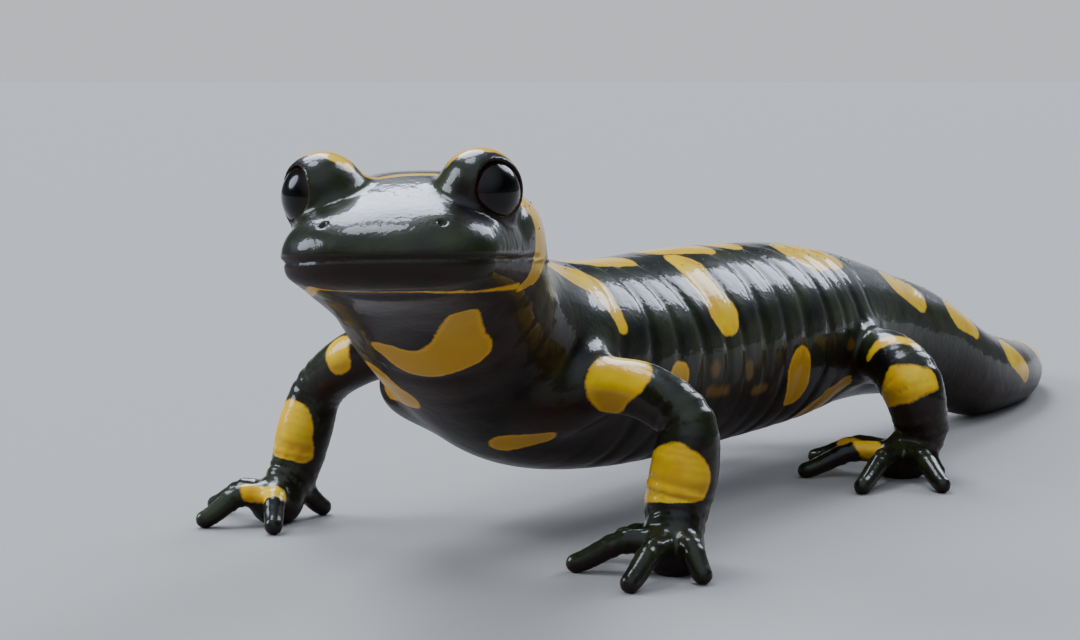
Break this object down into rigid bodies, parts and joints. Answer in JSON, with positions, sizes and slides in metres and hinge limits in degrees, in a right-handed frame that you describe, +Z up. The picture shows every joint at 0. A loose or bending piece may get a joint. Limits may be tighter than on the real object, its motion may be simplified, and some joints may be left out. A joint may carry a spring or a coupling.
{
  "type": "fire salamander",
  "caption": "Life-size still model of a fire salamander standing on all fours, head raised and turned to its left, ribbed flanks, bulging eyes and a round tail curving along the floor.",
  "frame": {"origin": "on the floor, under the middle of the animal's box", "axes": "+Z up from the floor, -Y the way the body faces, +X to the animal's own left"},
  "size_m": [0.059, 0.1831, 0.0365],
  "materials": {
    "skin": "moist, smooth, glossy black skin with yellow spots",
    "eye": "wet, mirror-smooth, very dark brown"
  },
  "bodies": {
    "root": {"head": "skin", "neck": "skin", "eye_left": "eye", "eye_right": "eye", "torso": "skin", "tail_base": "skin", "tail_middle": "skin", "tail_tip": "skin", "front_left_upper_arm": "skin", "front_left_forearm": "skin", "front_left_hand": "skin", "front_right_upper_arm": "skin", "front_right_forearm": "skin", "front_right_hand": "skin", "hind_left_thigh": "skin", "hind_left_shank": "skin", "hind_left_foot": "skin", "hind_right_thigh": "skin", "hind_right_shank": "skin", "hind_right_foot": "skin"}
  },
  "joints": []
}
